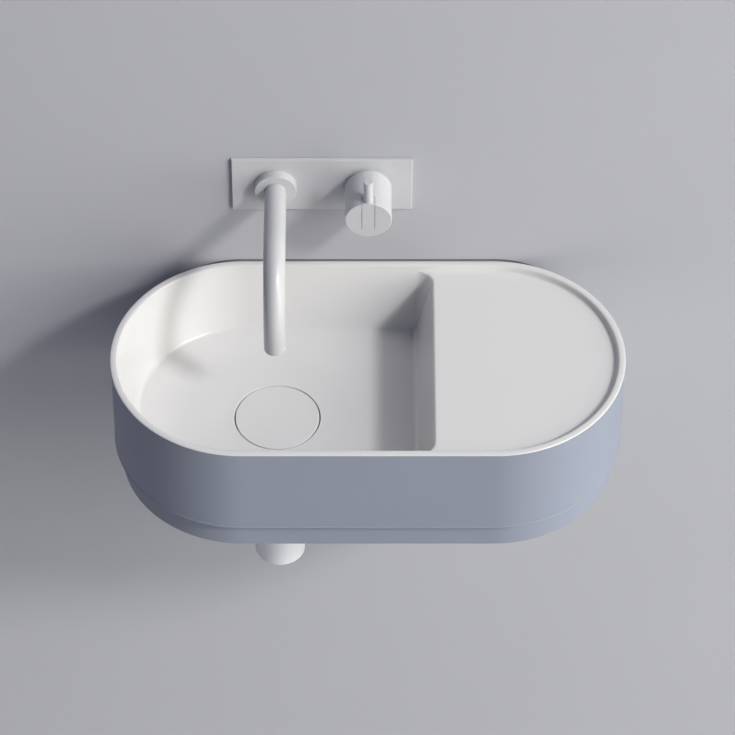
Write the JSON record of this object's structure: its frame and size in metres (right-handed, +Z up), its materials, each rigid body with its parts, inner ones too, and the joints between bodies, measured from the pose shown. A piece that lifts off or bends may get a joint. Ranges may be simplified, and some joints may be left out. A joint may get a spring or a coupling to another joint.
{
  "type": "washbasin",
  "caption": "Wall-hung stadium-shaped washbasin with a deep bowl, a flat side deck, a bottle trap and a wall-mounted mixer with spout and lever knob.",
  "frame": {"origin": "midway between the two wall studs, on the face of the wall, 112 mm below the rim", "axes": "+X to the right seen from the front, +Y into the wall, +Z up"},
  "size_m": [0.5998, 0.39, 0.5146],
  "materials": {
    "glaze": "glossy white glaze",
    "casing_coat": "matt blue-grey coat",
    "tap_coat": "satin white coat",
    "trap_coat": "satin white coat",
    "steel": "plain stainless",
    "brass": "plain turned brass",
    "rubber": "matt black",
    "white_seal": "matt white silicone",
    "plastic": "matt light grey"
  },
  "bodies": {
    "basin": {"inner_basin": "glaze", "outer_casing": "casing_coat", "base_pan": "casing_coat", "rim_bead": "white_seal", "rod_inserts": "brass", "pan_rods": "steel", "pan_washers": "steel", "pan_nuts": "steel", "hanger_bolts": "steel", "stud_sleeves": "plastic", "stud_washers": "steel", "stud_nuts": "steel", "waste_body": "steel", "click_cartridge": "plastic", "flange_seal": "rubber", "floor_gasket": "rubber", "waste_backnut": "brass", "trap_nut": "trap_coat", "trap_washer": "rubber", "dip_tube": "plastic", "trap_body": "trap_coat", "cup_seal": "rubber", "trap_cup": "trap_coat", "outlet_washer": "rubber", "outlet_nut": "trap_coat", "outlet_pipe": "trap_coat", "wall_rosette": "trap_coat", "tap_plate": "tap_coat", "plate_gasket": "rubber", "mixer_body": "brass", "mixer_bracket": "steel", "bracket_bolts": "steel", "cartridge": "plastic", "cartridge_nut": "brass", "knob_sleeve": "tap_coat", "spout_tube": "tap_coat", "spout_collar": "tap_coat", "spout_set_screw": "steel", "spout_o_rings": "rubber", "aerator": "steel"},
    "knob": {"knob": "tap_coat", "cartridge_stem": "steel", "knob_set_screw": "steel", "tongue_pin": "steel"},
    "lever": {"lever_tongue": "tap_coat", "lever_pin": "tap_coat"},
    "flow_rod": {"control_rod": "steel"},
    "plug": {"drain_cover": "glaze", "cover_carrier": "steel", "plug_seal": "rubber"}
  },
  "joints": [
    {"name": "knob_turn", "type": "hinge", "parent": "basin", "child": "knob", "pos_m": [0.0006, -0.035, 0.243], "axis": [0, 1, 0], "range_deg": [-45, 45]},
    {"name": "lever_tilt", "type": "hinge", "parent": "knob", "child": "lever", "pos_m": [0.0006, -0.0584, 0.2321], "axis": [1, 0, 0], "range_deg": [0, 18]},
    {"name": "flow_rod_slide", "type": "slide", "parent": "knob", "child": "flow_rod", "axis": [0, -1, 0], "range_m": [0, 0.0024]},
    {"name": "cover_lift", "type": "slide", "parent": "basin", "child": "plug", "axis": [0, 0, 1], "range_m": [0, 0.009]}
  ],
  "couplings": [
    {"joint": "flow_rod_slide", "follows": "lever_tilt", "m_per_rad": 0.0076}
  ]
}
